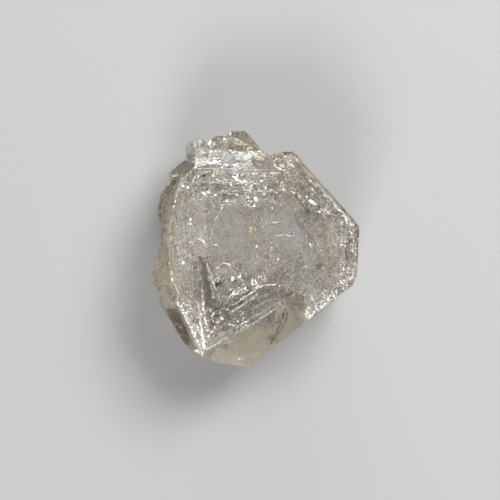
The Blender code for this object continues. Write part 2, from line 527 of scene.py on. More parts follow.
@dataclass(frozen=True)
class Patch:
    """An ellipse seen from above. Lengths are in millimetres, and turn is its first radius's direction."""

    middle: tuple[float, float]
    radii: tuple[float, float]
    turn: float = 0
    strength: float = 1

    def on(self, points: np.ndarray) -> np.ndarray:
        """How strongly each point is in it: 0 from its rim outwards, and its strength from half its size inwards."""
        return self.strength * np.clip(2 * (1 - reach(points, self.middle, self.radii, self.turn)), 0, 1)


def strongest(patches: tuple[Patch, ...], points: np.ndarray) -> np.ndarray:
    """How strongly each point is in the patch that it is in most."""
    return np.max([patch.on(points) for patch in patches], axis=0)


@dataclass(frozen=True)
class Chip:
    """A shell-shaped hollow where a splinter has come away. Lengths are in millimetres."""

    middle: tuple[float, float]
    radii: tuple[float, float]
    turn: float
    depth: float
    ripples: float = 2.5
    ripple_share: float = 0.12

    def height(self, points: np.ndarray) -> np.ndarray:
        """Shapes the hollow, with ripples that spread from its middle.

        Args:
            points: where to read it.

        Returns:
            How high the surface stands at each point, in millimetres.
        """
        far = np.minimum(reach(points, self.middle, self.radii, self.turn), 1)
        skew = 2 * (points[:, 0] / MM - self.middle[0])
        wave = self.ripple_share * np.cos(2 * math.pi * self.ripples * far + skew)
        return self.depth * (1 - far ** 2) * (wave - 1)


GRANULAR = (
    Patch((-6.3, 13.9), (11, 4.5), 0, 0.45),
    Patch((6, 16.5), (9, 5.5), -20),
    Patch((13, 11), (6, 4), -45),
    Patch((20, -1), (3.6, 11), 0, 0.6),
    Patch((15.5, -10), (11, 6.5), 38, 0.75),
    Patch((-12.7, -15.5), (9, 4.5), 117),
    Patch((-5.6, -13.7), (8, 5.5), 20, 0.8),
    Patch((-3, -5), (8, 5), 10, 0.6),
    Patch((-15, 1), (3.5, 10), 0, 0.7),
)
HOPPER = Patch((0, 0), (23, 23))
FROSTED_WINDOW = Patch((2.5, 3), (11, 7.5))
OLIVE_CORNER = Patch((6, 17), (9, 5.5), -20)
STAINED = (
    Patch((-16.2, -16.6), (3.6, 1.9), 118),
    Patch((-14.2, -20.4), (3.0, 1.6), 125, 0.45),
)
CHIPS = (
    Chip((3.0, 20.0), (3.4, 2.0), 20, 0.45),
    Chip((7.5, 18.6), (3.2, 1.9), -5, 0.4),
    Chip((4.5, 15.2), (2.6, 1.8), 30, 0.3),
    Chip((9.4, 13.6), (2.2, 1.8), -40, 0.3),
    Chip((13.2, 11.4), (2.6, 1.6), -50, 0.35),
    Chip((16.5, 8.2), (2.2, 1.3), -48, 0.3),
    Chip((20.6, 3.2), (1.2, 2.6), 0, 0.3),
    Chip((20.8, -3.0), (1.2, 2.8), 0, 0.3),
    Chip((17.5, -9.4), (2.8, 1.6), 38, 0.4),
    Chip((13.4, -12.0), (2.6, 1.5), 38, 0.35),
    Chip((-13.2, -17.6), (2.6, 1.1), 120, 0.35),
    Chip((-15.4, -12.6), (2.4, 1.0), 112, 0.3),
    Chip((-10.6, -19.8), (1.6, 1.0), 100, 0.3),
    Chip((-17.6, 4.0), (1.0, 2.4), 0, 0.25),
    Chip((-16.8, 9.5), (1.0, 2.2), -20, 0.25),
    Chip((-4.2, -3.2), (1.8, 1.2), 15, 0.2),
    Chip((-7.0, -6.2), (1.6, 1.3), 60, 0.25),
    Chip((-1.5, 12.0), (2.4, 1.2), -8, 0.2),
)


@dataclass
class Skin:
    """The crystal's outside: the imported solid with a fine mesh, softened edges and the faces' own relief.

    The small side crystals lie west of side_edge, the knob north of knob_south between its sides, and the stub
    north and west of its corner. The faces below etched_mm are etched, more so fade_mm lower, down to bare_mm.
    """

    longest_side: float = 0.42 * MM
    longest_below: float = 0.8 * MM
    fine_above: float = 17 * MM
    weld: float = 0.002 * MM
    crease_angle: float = 24
    hopper_floor: float = 22 * MM
    side_edge: float = -17.2 * MM
    knob_south: float = 22.0 * MM
    knob_sides: tuple[float, float] = (-9.4 * MM, 1.5 * MM)
    knob_middle: tuple[float, float] = (-6.4, 20.4)
    stub_corner: tuple[float, float] = (-10.2 * MM, 20.2 * MM)
    etched_mm: float = 12
    fade_mm: float = 3
    bare_mm: float = 0.2
    softness: float = 0.25
    soft_turns: int = 4
    lowest: float = 0.0
    finish: QuartzFinish = QuartzFinish()

    def surface(self) -> Surface:
        """Cuts the solid's own faces finely, and finer where its growth shows.

        Returns:
            The faces.
        """
        block = bmesh.new()
        block.from_mesh(FRAME["nodes"][NODE].data)
        bmesh.ops.remove_doubles(block, verts=block.verts[:], dist=self.weld)
        bmesh.ops.triangulate(block, faces=block.faces[:])
        points = np.array([v.co[:] for v in block.verts])
        corners = np.array([[v.index for v in face.verts] for face in block.faces])
        block.free()

        def longest(places: np.ndarray) -> np.ndarray:
            """The longest side to leave at each place."""
            return np.where(places[:, 2] > self.fine_above, self.longest_side, self.longest_below)

        return Surface(*refined(points, corners, longest))

    def kinds(self, surface: Surface) -> dict[str, np.ndarray]:
        """Tells the faces apart.

        Args:
            surface: the solid's faces, before any relief.

        Returns:
            For each kind of face, how much each vertex belongs to it, from 0 to 1.
        """
        flat = unit(surface.face_normals())
        x, y, z = surface.points[surface.corners].mean(axis=1).T

        def facing(azimuth: float, tilt: float, within: float = 6) -> np.ndarray:
            """1 on the triangles that look that way within an angle, else 0."""
            return (flat @ np.array(unit_towards(azimuth, tilt)) > math.cos(math.radians(within))).astype(float)

        table = facing(205, 88) * (z > self.hopper_floor)
        panel = facing(188, 58) * (x < self.side_edge)
        knob = (y > self.knob_south) & (x > self.knob_sides[0]) & (x < self.knob_sides[1])
        stub = (x < self.stub_corner[0]) & (y > self.stub_corner[1])
        kinds = {
            "table": table,
            "band": facing(90, 55, 12),
            "slope": facing(-60, 35, 8),
            "crown": facing(-51.4, 45, 8),
            "upright": (np.abs(flat[:, 2]) < 0.25).astype(float),
            "panel": panel,
            "side": (x < self.side_edge) * (1 - table) * (1 - panel),
            "stub": stub.astype(float),
            "knob": knob.astype(float),
        }
        return {kind: surface.to_vertices(values) for kind, values in kinds.items()}

    def hopper(self, points: np.ndarray) -> np.ndarray:
        """How much each point belongs to the stepped hollow in the broad face."""
        return HOPPER.on(points) * np.clip((points[:, 2] - self.hopper_floor) / MM, 0, 1)

    def underneath(self, points: np.ndarray) -> np.ndarray:
        """How much each point belongs to the etched faces low down, which the resting face isn't one of."""
        high = points[:, 2] / MM
        return np.clip((self.etched_mm - high) / self.fade_mm, 0, 1) * np.clip(high - self.bare_mm, 0, 1)

    def warp(self, points: np.ndarray) -> np.ndarray:
        """How far the growth steps wander sideways at each point."""
        wander = [0.6 * noise_at(points, 130, s) + 0.32 * noise_at(points, 420, s + 1) for s in (21, 31)]
        return np.stack([*wander, np.zeros(len(points))], axis=1) * self.hopper(points)[:, None] * MM

    def relief(self, points: np.ndarray, kinds: dict[str, np.ndarray]) -> np.ndarray:
        """Shapes the faces: swells, growth lines, crumbs and chips, all in millimetres until the last line.

        Args:
            points: where to read it.
            kinds: how much each point belongs to each kind of face.

        Returns:
            How high the surface stands over the flat faces at each point, in metres.
        """
        fine = noise_at(points, 900, 2)
        lines = noise_at(points, (60, 900, 60), 3)
        hills = np.abs(noise_at(points, 420, 4))
        grain = strongest(GRANULAR, points)
        crumbs = np.abs(noise_at(points, 1300, 6))
        rings = np.sin(np.linalg.norm(points[:, :2] / MM - np.array(self.knob_middle), axis=1) * 6 + 3 * fine)
        height = 0.05 * noise_at(points, 180, 1)
        height += kinds["table"] * (0.05 * noise_at(points, 350, 5) + 0.02 * fine)
        height += kinds["table"] * grain * (0.05 * fine - 0.06 * crumbs)
        height += kinds["band"] * (0.11 * lines - 0.05 * crumbs)
        height += kinds["upright"] * (0.09 * lines + 0.05 * noise_at(points, 300, 7))
        height += kinds["crown"] * (0.05 * lines - 0.08 * crumbs + 0.06 * fine)
        height += kinds["side"] * (0.2 * hills + 0.05 * fine - 0.16 * cells_at(points, 480))
        height += kinds["panel"] * (0.03 * lines + 0.02 * fine)
        height += kinds["stub"] * (0.25 * hills - 0.5 * cells_at(points, 620))
        height += kinds["knob"] * (0.03 * rings + 0.02 * hills)
        growth = noise_at(points, (60, 60, 1100), 9) + 0.6 * noise_at(points, (150, 150, 420), 10)
        height += self.underneath(points) * (0.07 * growth + 0.06 * noise_at(points, 300, 8) + 0.03 * fine)
        on_top = np.clip((points[:, 2] - self.fine_above) / MM, 0, 1)
        return (height + on_top * sum(chip.height(points) for chip in CHIPS)) * MM

    def masks(self, points: np.ndarray, kinds: dict[str, np.ndarray]) -> dict[Mask, np.ndarray]:
        """Says how frosted, grainy, striated, stained and olive each point is.

        Args:
            points: where to read it.
            kinds: how much each point belongs to each kind of face.

        Returns:
            The finish's masks, not yet held between 0 and 1.
        """
        grain = strongest(GRANULAR, points)
        etched = self.underneath(points)
        cloudy = np.clip(0.1 + 0.5 * FROSTED_WINDOW.on(points) - 0.1 * grain, 0, 1)
        return {
            Mask.FROST: 0.2 * kinds["stub"] + 0.25 * kinds["slope"] + 0.2 * kinds["side"] + 0.35 * kinds["panel"]
                        + 0.35 * kinds["knob"] + 0.45 * etched + kinds["table"] * cloudy,
            Mask.GRAIN: 0.8 * grain + kinds["stub"] + 0.3 * kinds["side"] + kinds["crown"] + 0.4 * etched,
            Mask.STRIA: kinds["band"] + 0.5 * kinds["upright"] + 0.4 * kinds["crown"],
            Mask.STAIN: strongest(STAINED, points) * np.clip(1.3 - kinds["table"], 0, 1),
            Mask.OLIVE: kinds["side"] + 0.15 * kinds["slope"] + 0.3 * OLIVE_CORNER.on(points)
                        + 0.2 * kinds["knob"] + kinds["panel"],
        }

    def build(self) -> bpy.types.Object:
        """Makes the skin, in place of the plain solid.

        Returns:
            The skin.
        """
        surface = self.surface()
        kinds = self.kinds(surface)
        for _ in range(self.soft_turns):
            surface.soften(self.softness + self.softness * self.hopper(surface.points), 2)
        normals = surface.vertex_normals()
        flat = surface.points
        surface.points = flat + self.warp(flat) + normals * self.relief(flat, kinds)[:, None]
        surface.points[:, 2] = np.maximum(surface.points[:, 2], self.lowest)
        skin = bpy.data.objects.new("quartz_body", surface.mesh("quartz_body"))
        for mask, values in self.masks(flat, kinds).items():
            layer = skin.data.attributes.new(mask.value, "FLOAT", "POINT")
            layer.data.foreach_set("value", np.clip(values, 0, 1).astype(np.float32))
        skin.data.materials.append(self.finish.material())
        skin.data.shade_smooth()
        skin.data.set_sharp_from_angle(angle=math.radians(self.crease_angle))
        bpy.context.scene.collection.objects.link(skin)
        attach(skin, BODY)
        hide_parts(NODE)
        LOG.info("quartz_body: %d triangles", len(surface.corners))
        return skin


def within(places: np.ndarray, corners: np.ndarray | Outline) -> np.ndarray:
    """Whether each place in plan lies inside an outline.

    Args:
        places: the places, one X and Y each.
        corners: the outline's corners in order.

    Returns:
        One truth value for each place.
    """
    inside = np.zeros(len(places), bool)
    for (x0, y0), (x1, y1) in zip(corners, np.roll(corners, -1, axis=0)):
        if y0 != y1:
            crosses = (y0 > places[:, 1]) != (y1 > places[:, 1])
            inside ^= crosses & (places[:, 0] < (x1 - x0) * (places[:, 1] - y0) / (y1 - y0) + x0)
    return inside


CLEAR_STRIP = ((-12.9, -2.7), (-10.2, -2.4), (-8.5, -7.8), (-6.9, -11.9), (-9.2, -19.0), (-11.4, -10.0))
STRIP_CLEARED = 0.88
ABOVE = 0.1


class Inside:
    """Where the crystal is: tells what lies inside it, and how high it is at a place in plan."""

    def __init__(self, skin: bpy.types.Object) -> None:
        """Reads the skin."""
        mesh = skin.data
        self.tree = BVHTree.FromPolygons([v.co[:] for v in mesh.vertices], [p.vertices[:] for p in mesh.polygons])

    def depth(self, point: np.ndarray) -> float:
        """How far inside the point is, or a negative number outside."""
        where, normal, _, _ = self.tree.find_nearest(Vector(point))
        return (where - Vector(point)).dot(normal)

    def met(self, x: float, y: float) -> tuple:
        """What a ray straight down meets at a place in plan: the point, its normal, and more, or None for each."""
        return self.tree.ray_cast(Vector((x, y, ABOVE)), -UP)

    def top(self, x: float, y: float) -> float | None:
        """The height of the crystal's top at a place in plan, or None beside it."""
        point = self.met(x, y)[0]
        return None if point is None else point.z

    def flash(self, x: float, y: float) -> Vector:
        """The way a mirror must face under the top at a place in plan to throw the main light straight up."""
        return flashing(self.met(x, y)[1])


def arc(middle: tuple[float, float], radius: float, start: float, end: float) -> Outline:
    """Points along an arc, one for every 30 degrees.

    Args:
        middle: its centre.
        radius: its radius.
        start: where it begins, in degrees from +X towards +Y.
        end: where it ends.

    Returns:
        The points.
    """
    angles = np.radians(np.linspace(start, end, max(3, round(abs(end - start) / 30) + 1)))
    return tuple((middle[0] + radius * math.cos(a), middle[1] + radius * math.sin(a)) for a in angles)


def leaning(rng: np.random.Generator, spread: float, towards: Vector = UP) -> np.ndarray:
    """A unit vector near another.

    Args:
        rng: where chance comes from.
        spread: how far from it the vector usually is, in degrees.
        towards: the other vector.

    Returns:
        The vector.
    """
    lean = math.radians(abs(rng.normal(0, spread)))
    way = rng.uniform(0, 2 * math.pi)
    tilted = Vector((math.sin(lean) * math.cos(way), math.sin(lean) * math.sin(way), math.cos(lean)))
    return np.array(towards.to_track_quat("Z", "Y") @ tilted)


class Grain(Enum):
    """A flake's closed shape: how many corners its rim has, and its triangles."""

    FLAKE = (4, ((0, 1, 4), (1, 2, 4), (2, 3, 4), (3, 0, 4), (1, 0, 5), (2, 1, 5), (3, 2, 5), (0, 3, 5)))
    SPLINTER = (3, ((0, 1, 3), (1, 2, 3), (2, 0, 3), (2, 1, 0)))


@dataclass
class Cloud:
    """Many small closed flakes of one finish, joined in one mesh."""

    name: str
    finish: FlakeFinish
    inside: Inside
    seed: int
    grain: Grain = Grain.FLAKE
    clearance: float = 0.1 * MM
    flakes: list[tuple] = field(default_factory=list)

    def __post_init__(self) -> None:
        """Sets where its chance comes from."""
        self.random = np.random.default_rng(self.seed)

    def add(self, centre: np.ndarray, normal: np.ndarray, radius: float, thickness: float, long: float = 1,
            along: np.ndarray | None = None) -> None:
        """Adds a flake if it is inside the crystal.

        Args:
            centre: its middle.
            normal: the way it faces.
            radius: its half width.
            thickness: its half thickness, as a share of the radius.
            long: its length over its width.
            along: the direction of its length, or None for any.
        """
        if self.inside.depth(centre) > self.clearance + 0.3 * radius:
            way = self.random.normal(size=3) if along is None else along
            self.flakes.append((centre, normal, radius, thickness, long, way))

    def under(self, x: float, y: float, depth: tuple[float, float]) -> np.ndarray | None:
        """Picks a place under the crystal's top.

        Args:
            x: where it is in plan, in metres.
            y: where it is in plan, in metres.
            depth: how shallow and how deep it may be, in millimetres.

        Returns:
            The place, or None beside the crystal.
        """
        top = self.inside.top(x, y)
        return None if top is None else np.array([x, y, top - self.random.uniform(*depth) * MM])

    def build(self) -> None:
        """Makes the mesh."""
        count = len(self.flakes)
        centres, normals, radii, thickness, long, ways = (np.array(values) for values in zip(*self.flakes))
        normals /= np.linalg.norm(normals, axis=1, keepdims=True)
        first = ways - normals * (ways * normals).sum(axis=1, keepdims=True)
        first /= np.linalg.norm(first, axis=1, keepdims=True)
        second = np.cross(normals, first)
        corner_count, triangles = self.grain.value
        points = []
        for corner in range(corner_count):
            angle = 2 * math.pi / corner_count * corner + self.random.uniform(-0.4, 0.4, count)
            reach = radii * self.random.uniform(0.7, 1.15, count)
            along = first * (np.cos(angle) * reach * long)[:, None]
            points.append(centres + along + second * (np.sin(angle) * reach)[:, None])
        points += [centres + normals * (radii * thickness * side)[:, None] for side in (1, -1)]
        size = 1 + max(max(triangle) for triangle in triangles)
        points = np.stack(points[:size], axis=1).reshape(-1, 3)
        corners = (np.array(triangles)[None] + size * np.arange(count)[:, None, None]).reshape(-1, 3)
        made = bpy.data.objects.new(self.name, Surface(points, corners).mesh(self.name))
        made.data.materials.append(self.finish.material())
        made.data.shade_flat()
        bpy.context.scene.collection.objects.link(made)
        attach(made, BODY)
        LOG.info("%s: %d flakes, %d triangles", self.name, count, len(corners))


ZONE_TRIES = 6
VEIL_TRIES = 4
CLUMPS = 450


@dataclass(frozen=True)
class Zone:
    """Flakes scattered under an ellipse of the broad face. Lengths are in millimetres."""

    middle: tuple[float, float]
    radii: tuple[float, float]
    turn: float
    depth: tuple[float, float]
    count: int
    size: tuple[float, float]
    tilt: float
    clump: float = 0.0
    thickness: float = 0.12
    long: float = 3.2
    everywhere: bool = False

    def fill(self, cloud: Cloud) -> None:
        """Scatters the flakes, few of them in the clear strip.

        Args:
            cloud: what holds them.
        """
        rng = cloud.random
        turn = math.radians(self.turn)
        spots = rng.uniform(-1, 1, (self.count * ZONE_TRIES, 2))
        spots = spots[np.hypot(*spots.T) < 1] * self.radii
        axes = np.array(((math.cos(turn), math.sin(turn)), (-math.sin(turn), math.cos(turn))))
        places = np.array(self.middle) + spots @ axes
        cleared = within(places, CLEAR_STRIP) & (rng.uniform(size=len(places)) < STRIP_CLEARED)
        made = 0
        for (x, y), spoils in zip(places * MM, cleared):
            if made >= self.count:
                break
            if noise.noise(Vector((x * CLUMPS, y * CLUMPS, self.count))) < self.clump:
                continue
            made += 1
            centre = None if spoils and not self.everywhere else cloud.under(x, y, self.depth)
            if centre is None:
                continue
            size = rng.uniform(*self.size) * MM * rng.uniform(0.5, 1)
            cloud.add(centre, leaning(rng, self.tilt), size, self.thickness, rng.uniform(1, self.long))


@dataclass(frozen=True)
class Veil:
    """A thin layer of flakes with a crisp outline in plan. Lengths are in millimetres."""

    corners: Outline
    count: int
    depth: tuple[float, float] = (0.12, 0.5)
    size: tuple[float, float] = (0.07, 0.15)
    flashes: bool = False
    spread: float = 22
    thickness: float = 0.25
    long: float = 1.6
    along: float | None = None

    def fill(self, cloud: Cloud) -> None:
        """Scatters the flakes evenly inside the outline.

        Args:
            cloud: what holds them.
        """
        rng = cloud.random
        corners = np.array(self.corners)
        places = rng.uniform(corners.min(axis=0), corners.max(axis=0), (self.count * VEIL_TRIES, 2))
        way = None if self.along is None else np.array(unit_towards(self.along, 0))
        for x, y in places[within(places, corners)][:self.count] * MM:
            centre = cloud.under(x, y, self.depth)
            if centre is None:
                continue
            normal = leaning(rng, self.spread, cloud.inside.flash(x, y) if self.flashes else UP)
            size = rng.uniform(*self.size) * MM
            cloud.add(centre, normal, size, self.thickness, rng.uniform(1, self.long), way)


@dataclass(frozen=True)
class Streak:
    """A row of long flakes along a line under the broad face. Lengths are in millimetres."""

    line: Outline
    width: float = 0.2
    per_length: float = 16
    size: tuple[float, float] = (0.05, 0.11)
    long: float = 4
    depth: tuple[float, float] = (0.15, 0.5)
    spread: float = 14
    sway: float = 0.22
    thickness: float = 0.2

    def fill(self, cloud: Cloud) -> None:
        """Lays the flakes, most of them so that they catch the main light.

        Args:
            cloud: what holds them.
        """
        rng = cloud.random
        for start, end in zip(self.line, self.line[1:]):
            start, end = np.array(start), np.array(end)
            length = np.linalg.norm(end - start)
            along = (end - start) / length
            across = np.array([-along[1], along[0]])
            for _ in range(math.ceil(length * self.per_length)):
                place = start + along * rng.uniform(0, length)
                sway = self.sway * noise.noise(Vector((*place * 0.7, self.width)))
                x, y = (place + across * (rng.normal(0, self.width / 2) + sway)) * MM
                centre = cloud.under(x, y, self.depth)
                if centre is None:
                    continue
                normal = leaning(rng, self.spread, cloud.inside.flash(x, y))
                long = rng.uniform(0.4, 1) * self.long
                size = rng.uniform(*self.size) * MM
                cloud.add(centre, normal, size, self.thickness, long, np.array([*along, 0]))


@dataclass(frozen=True)
class Speck:
    """One grain just under the surface, of a few flakes grown together. Lengths are in millimetres."""

    middle: tuple[float, float]
    half_length: float
    half_width: float
    turn: float = 0
    depth: float = 0.15
    flakes: int = 4
    spread: float = 16
    thickness: float = 0.6

    def fill(self, cloud: Cloud) -> None:
        """Lays the flakes.

        Args:
            cloud: what holds them.
        """
        rng = cloud.random
        way = np.array(unit_towards(self.turn, 0))
        for _ in range(self.flakes):
            shift = rng.uniform(-0.4, 0.4) * self.half_length
            x, y = (np.array(self.middle) + way[:2] * shift + rng.normal(0, 0.2 * self.half_width, 2)) * MM
            top = cloud.inside.top(x, y)
            if top is None:
                continue
            centre = np.array([x, y, top - (self.depth + 0.5 * self.half_width) * MM])
            width = rng.uniform(0.6, 1) * self.half_width * MM
            normal = leaning(rng, self.spread, cloud.inside.flash(x, y))
            cloud.add(centre, normal, width, self.thickness, self.half_length / self.half_width, way)


@dataclass(frozen=True)
class HealedCrack:
    """A curved sheet of thin cavities. Lengths are in millimetres."""

    middle: tuple[float, float]
    depth: float
    azimuth: float
    tilt: float
    half: tuple[float, float]
    turn: float
    bend: float
    count: int
    size: tuple[float, float] = (0.08, 0.3)
    jitter: float = 8
    holes: float = -0.15
    thickness: float = 0.06

    def fill(self, cloud: Cloud) -> None:
        """Lays the cavities over the sheet, with gaps in it.

        Args:
            cloud: what holds them.
        """
        rng = cloud.random
        top = cloud.inside.top(self.middle[0] * MM, self.middle[1] * MM)
        if top is None:
            return
        origin = np.array([self.middle[0] * MM, self.middle[1] * MM, top - self.depth * MM])
        normal = np.array(unit_towards(self.azimuth, self.tilt))
        frame = Vector(normal).to_track_quat("Z", "Y").to_matrix() @ Matrix.Rotation(math.radians(self.turn), 3, "Z")
        first, second = np.array(frame.col[0]), np.array(frame.col[1])
        for _ in range(self.count):
            u, v = rng.uniform(-1, 1, 2)
            edge = 0.75 + 0.35 * noise.noise(Vector((math.atan2(v, u) * 1.3, self.depth, self.turn)))
            if math.hypot(u, v) > edge:
                continue
            if noise.noise(Vector((u * 2.6, v * 2.6, self.turn + self.depth))) < self.holes:
                continue
            a, b = u * self.half[0] * MM, v * self.half[1] * MM
            arch = self.bend * (u * u + 0.4 * v * v) + 0.12 * noise.noise(Vector((u * 3, v * 3, 7.7)))
            centre = origin + a * first + b * second + normal * arch * MM
            lean = normal - first * 2 * self.bend * u / self.half[0] + rng.normal(0, math.radians(self.jitter), 3)
            cloud.add(centre, lean, rng.uniform(*self.size) * MM, self.thickness, rng.uniform(1, 1.8))


SPARKLING = (
    Zone((-6.5, 14), (9.5, 2.8), 0, (0.3, 3), 260, (0.08, 0.4), 22, 0.05),
    Zone((-0.8, 10.3), (1.8, 1.4), 0, (0.2, 1.5), 70, (0.12, 0.4), 18, -0.3),
    Zone((3, 13.5), (4, 2.6), 0, (0.3, 3), 140, (0.08, 0.3), 24, 0.0),
    Zone((13, 10.8), (4.4, 2.6), -40, (0.3, 4), 170, (0.08, 0.32), 24, 0.05),
    Zone((-3, -5.4), (6.4, 3.6), 8, (0.3, 4), 430, (0.08, 0.34), 24, 0.0),
    Zone((1.2, -6.9), (1.8, 1.3), 30, (0.2, 1.5), 90, (0.12, 0.34), 16, -0.3),
    Zone((20.2, -1.4), (2.2, 8.2), 0, (0.2, 3), 420, (0.06, 0.24), 28, -0.1),
    Zone((16.7, -10.7), (6.6, 2.2), 38, (0.2, 3), 460, (0.06, 0.24), 28, -0.1),
    Zone((-12.0, -15.0), (6.6, 2.6), 117, (0.2, 3), 380, (0.06, 0.28), 26, -0.05),
    Zone((-5.6, -13.7), (5.5, 4), 10, (0.2, 3), 330, (0.06, 0.26), 26, 0.0),
    Zone((-14.6, 2.0), (3.2, 6.5), 0, (0.2, 3), 330, (0.06, 0.28), 26, 0.0),
    Zone((-7, 19.6), (6.2, 2.2), 0, (0.15, 2), 160, (0.06, 0.26), 22, -0.1),
    Zone((7.5, 17.6), (5.5, 3.2), -20, (0.2, 3), 110, (0.05, 0.18), 30, 0.0),
    Zone((-12.9, 21.8), (2.6, 2.6), 0, (0.1, 1), 160, (0.05, 0.2), 30, -0.3),
    Zone((0, 2), (14, 12), 0, (0.4, 6), 260, (0.05, 0.2), 30, 0.0),
    Zone((-0.6, 4.0), (1.5, 3.0), 0, (0.15, 1), 90, (0.05, 0.14), 24, -0.2),
    Zone((2.6, 1.0), (3.2, 5.4), 30, (0.15, 1.5), 130, (0.05, 0.16), 24, -0.1),
)
BRIGHT_STREAKS = (
    Streak(((-13.0, 19.0), (-7.0, 18.9)), 0.35, 34, (0.06, 0.12), 5),
    Streak(((-11.8, 19.6), (-7.2, 19.8)), 0.15, 10),
    Streak(((-12.0, 21.3), (-7.4, 21.2)), 0.3, 26),
    Streak(((-12.9, 18.2), (-11.4, 18.2)), 0.35, 30),
    Streak(((-12.7, 20.3), (-10.5, 20.1)), 0.15, 10),
    Streak(((-7.2, 20.7), (-5.9, 18.3)), 0.2, 26),
    Streak(((-4.6, 21.1), (-1.0, 20.7)), 0.25, 22),
    Streak(((-3.5, 20.4), (-0.8, 20.0)), 0.25, 22),
    Streak(((-1.0, 20.9), (-0.8, 19.2)), 0.2, 20),
    Streak(((-4.8, 17.8), (-3.5, 18.5)), 0.4, 50),
    Streak(((-5.6, 12.3), (-3.5, 12.0)), 0.2, 40),
    Streak(((-2.8, 11.9), (-1.0, 11.8)), 0.2, 36),
    Streak(((-4.3, 16.1), (-2.6, 16.1))),
    Streak(((0.1, 14.6), (0.9, 13.9), (1.2, 13.0)), 0.2, 36),
    Streak(((11.0, 10.8), (12.3, 10.8)), 0.3, 30),
    Streak(((-0.8, 16.5), (2.0, 16.0), (6.0, 16.4)), 0.15, 10),
    Streak(((-12.5, -3.0), (-11.9, -5.6), (-11.4, -7.8), (-11.2, -11.1)), 0.06, 11, (0.035, 0.07)),
    Streak(((-11.2, -11.1), (-10.7, -14.9), (-10.3, -17.0), (-9.7, -20.4)), 0.25, 44),
    Streak(((-10.1, -1.9), (-9.7, -4.5), (-9.2, -6.8), (-8.2, -9.1), (-7.2, -11.6)), 0.08, 20, (0.04, 0.08)),
    Streak(((-17.0, -3.2), (-15.9, -2.6), (-14.9, -3.0)), 0.3, 30),
    Streak(((-16.6, -11.9), (-14.8, -14.9), (-12.3, -20.8)), 0.7, 90, (0.05, 0.12), 6, (0.1, 0.35)),
    Streak(((-12.6, -21.6), (-11.4, -22.0), (-10.4, -21.6)), 0.7, 30),
    Streak(((-18.8, -1.0), (-18.1, -3.6), (-17.7, -7.5), (-17.7, -11.0)), 0.12, 14),
    Streak(((-13.2, 17.6), (-15.6, 14.6), (-16.8, 12.0), (-17.7, 7.6)), 0.12, 6),
    Streak(arc((-7.9, -14.7), 1.25, 20, 340), 0.12, 26),
    Streak(arc((-7.8, -14.7), 0.7, 200, 470), 0.1, 26),
    Streak(arc((7.0, 15.0), 5.2, 50, 130), 0.15, 9),
    Streak(arc((6.6, 15.4), 3.6, 40, 140), 0.15, 9),
    Streak(((-10.8, -22.0), (-1.9, -17.25), (5.2, -12.7)), 0.16, 60, (0.05, 0.1), 5, (0.12, 0.3)),
    Streak(((-6.5, -16.0), (-3.7, -16.8), (-1.4, -16.6)), 0.2, 26),
    Streak(((-9.5, -18.3), (-8.7, -17.0)), 0.25, 26),
    Streak(((-5.8, -10.4), (-1.8, -8.1)), 0.5, 70, (0.05, 0.13)),
    Streak(((-4.6, -13.5), (0.9, -9.9)), 0.25, 44),
    Streak(((-4.9, -12.5), (0.2, -9.1)), 0.2, 30),
    Streak(((-1.9, -9.1), (3.1, -7.8), (6.6, -7.8)), 0.15, 14),
    Streak(((-3.0, -16.6), (1.8, -13.9)), 0.2, 16),
    Streak(((4.4, 3.0), (9.4, 3.2)), 0.15, 16, (0.04, 0.08), 6),
    Streak(((2.8, 5.8), (6.6, 6.0)), 0.15, 8, (0.04, 0.08), 6),
    Streak(((-6.3, 9.7), (-7.9, 7.5), (-9.1, 4.7), (-9.6, 0.9), (-9.7, -4.1), (-8.6, -7.4)), 0.08, 18,
           (0.04, 0.07), 6),
    Streak(((-12.4, 5.0), (-9.8, 5.0)), 0.15, 16),
    Streak(((-9.5, 0.9), (-7.0, 0.9)), 0.15, 10, (0.04, 0.08), 6),
    Streak(((11.3, 3.4), (12.3, 0.7), (14.0, -1.7), (12.0, -2.7)), 0.1, 8, (0.04, 0.07), 5),
    Streak(((-12.7, 3.0), (-11.0, 1.9), (-10.2, 0.4)), 0.25, 30),
    Streak(((-12.0, 2.6), (-11.2, 3.2)), 0.25, 40),
    Streak(((-8.4, -4.7), (-6.7, -2.9), (-5.2, -3.6)), 0.2, 26),
    Streak(((18.6, 8.8), (21.4, 5.0), (21.7, 0.0), (21.6, -4.6)), 0.8, 20),
    Streak(((21.2, -5.4), (17.2, -9.6), (13.0, -12.6)), 0.9, 40),
    Streak(((20.2, -8.2), (15.4, -12.2), (11.6, -14.6)), 0.3, 30),
    Streak(((-4.5, 24.2), (-2.6, 23.7), (-1.5, 22.9), (-0.8, 20.2)), 0.15, 12),
)
